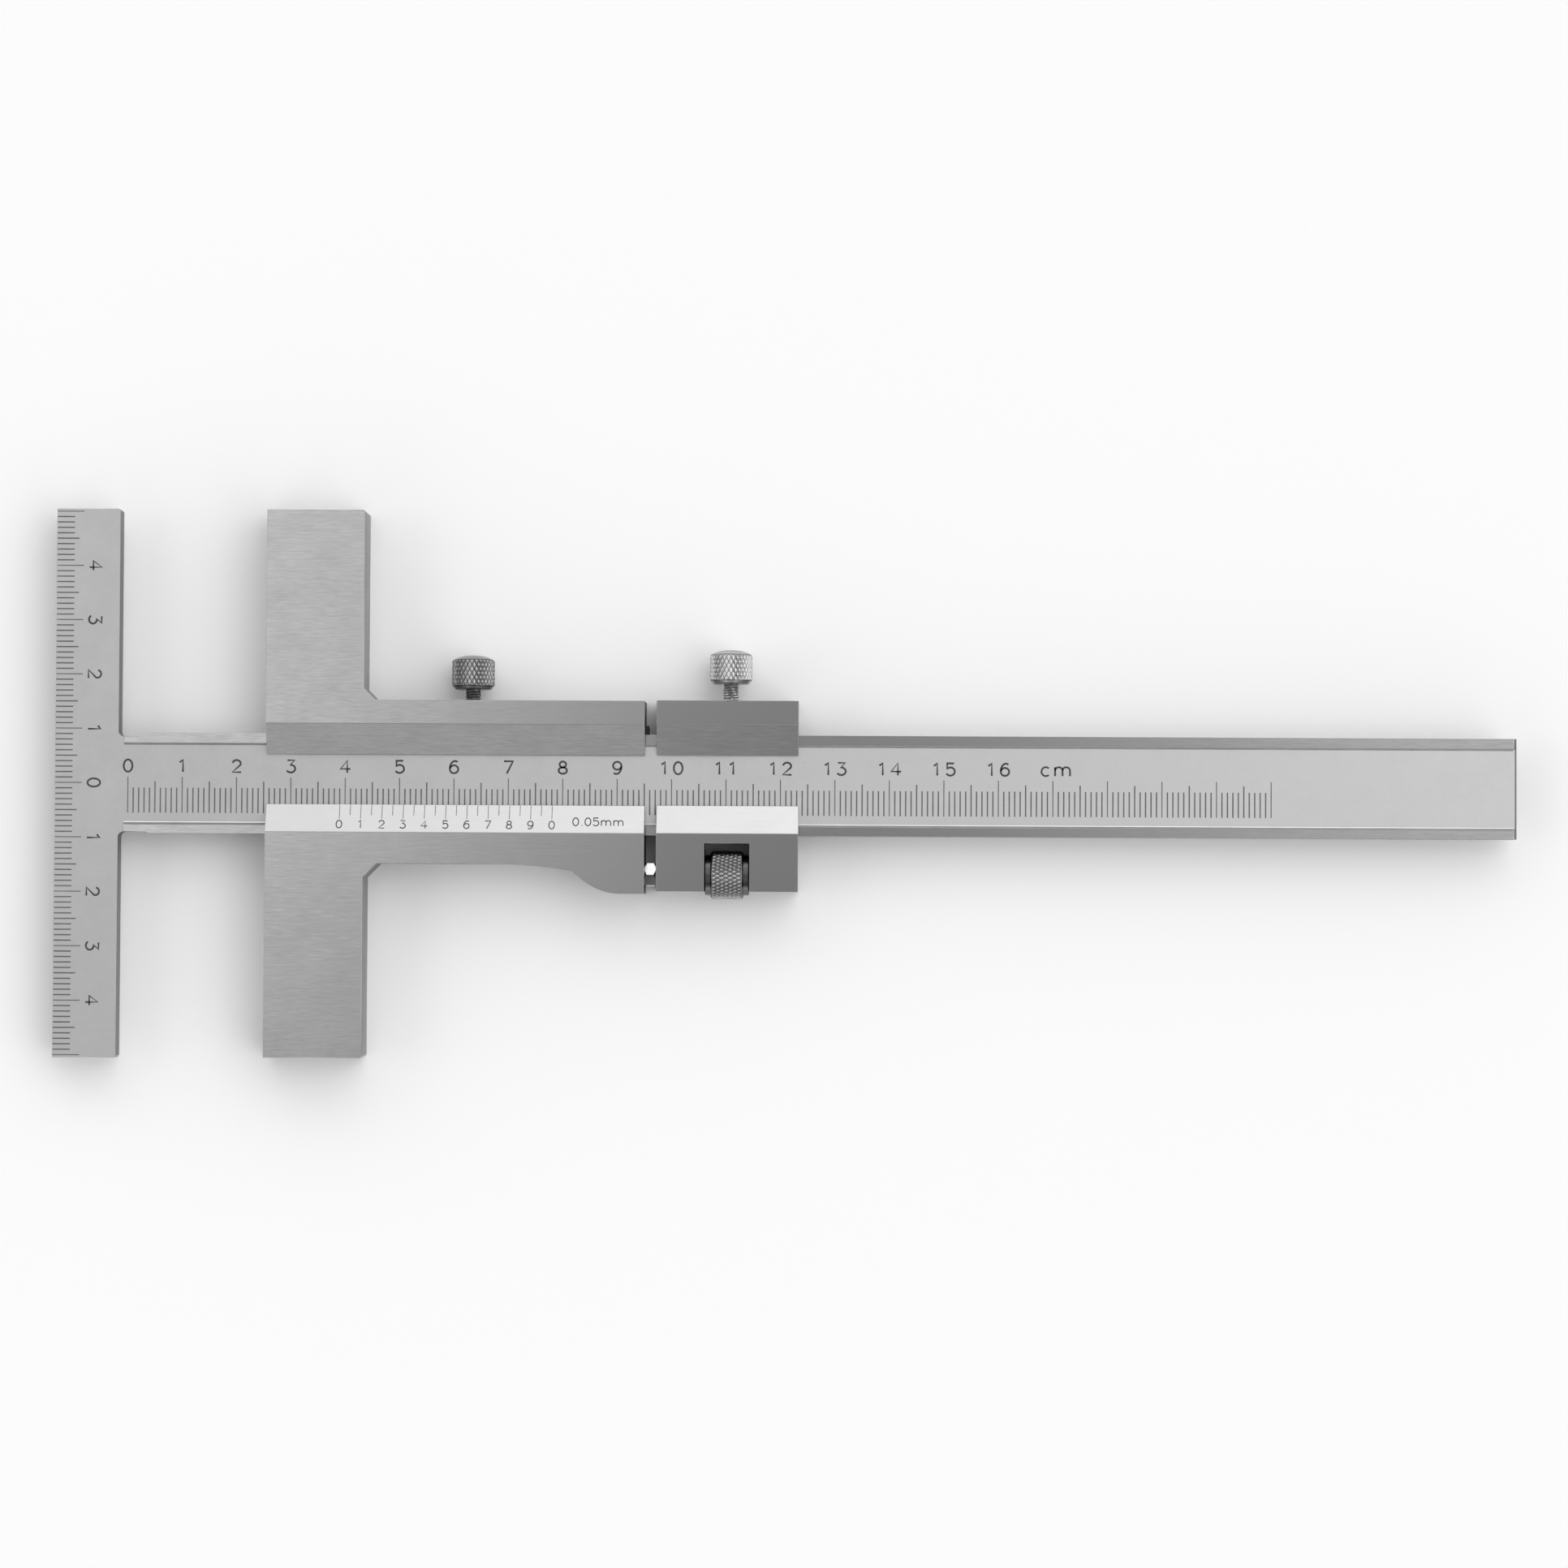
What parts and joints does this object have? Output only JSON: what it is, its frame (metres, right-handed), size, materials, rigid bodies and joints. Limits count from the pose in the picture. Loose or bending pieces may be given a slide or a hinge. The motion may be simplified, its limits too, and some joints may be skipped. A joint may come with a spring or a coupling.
{
  "type": "marking caliper",
  "caption": "Beam caliper with a T-shaped marking crossbar, a slider with two stop jaws and a vernier, and a screw-driven fine-adjustment block.",
  "frame": {"origin": "on the marking edge, the crossbar's outer face, at the middle of the beam's width and thickness", "axes": "+X along the beam from the marking edge to the free end, +Y across the beam towards the lock screws, +Z out of the scale face; the tool lies on the backs of its slider and block"},
  "size_m": [0.2685, 0.101, 0.009],
  "materials": {
    "beam_steel": "satin-chromed scale face with black graduations, fine-ground crossbar and guide lands",
    "slider_steel": "fine-ground stainless steel, satin vernier bevel with black graduations",
    "gib_steel": "blackened spring steel",
    "dark_screw_steel": "oiled dark steel",
    "knurled_steel": "turned steel with a diamond knurl",
    "bright_steel": "bright turned steel"
  },
  "bodies": {
    "beam": {"beam_rule": "beam_steel"},
    "slider": {"slider": "slider_steel", "slider_gib": "gib_steel", "gib_set_screws": "dark_screw_steel", "fine_spindle": "bright_steel", "spindle_pin": "dark_screw_steel"},
    "slider_screw": {"slider_lock_screw": "knurled_steel"},
    "block": {"fine_block": "slider_steel", "block_gib": "gib_steel"},
    "block_screw": {"block_lock_screw": "knurled_steel"},
    "nut": {"knurled_nut": "knurled_steel"}
  },
  "joints": [
    {"name": "slider_travel", "type": "slide", "parent": "beam", "child": "slider", "axis": [1, 0, 0], "range_m": [-0.0266, 0.1209]},
    {"name": "slider_screw_turn", "type": "hinge", "parent": "slider", "child": "slider_screw", "pos_m": [0.0768, 0.0155, 0], "axis": [0, 1, 0], "range_deg": [0, 360]},
    {"name": "fine_travel", "type": "slide", "parent": "slider", "child": "block", "axis": [1, 0, 0], "range_m": [-0.002, 0.004]},
    {"name": "block_screw_turn", "type": "hinge", "parent": "block", "child": "block_screw", "pos_m": [0.1243, 0.0155, 0], "axis": [0, 1, 0], "range_deg": [0, 360]},
    {"name": "nut_spin", "type": "hinge", "parent": "block", "child": "nut", "pos_m": [0.12375, -0.01645, 0], "axis": [1, 0, 0], "range_deg": [-1440, 2880]}
  ],
  "couplings": [
    {"joint": "nut_spin", "follows": "fine_travel", "rad_per_m": 12566}
  ]
}
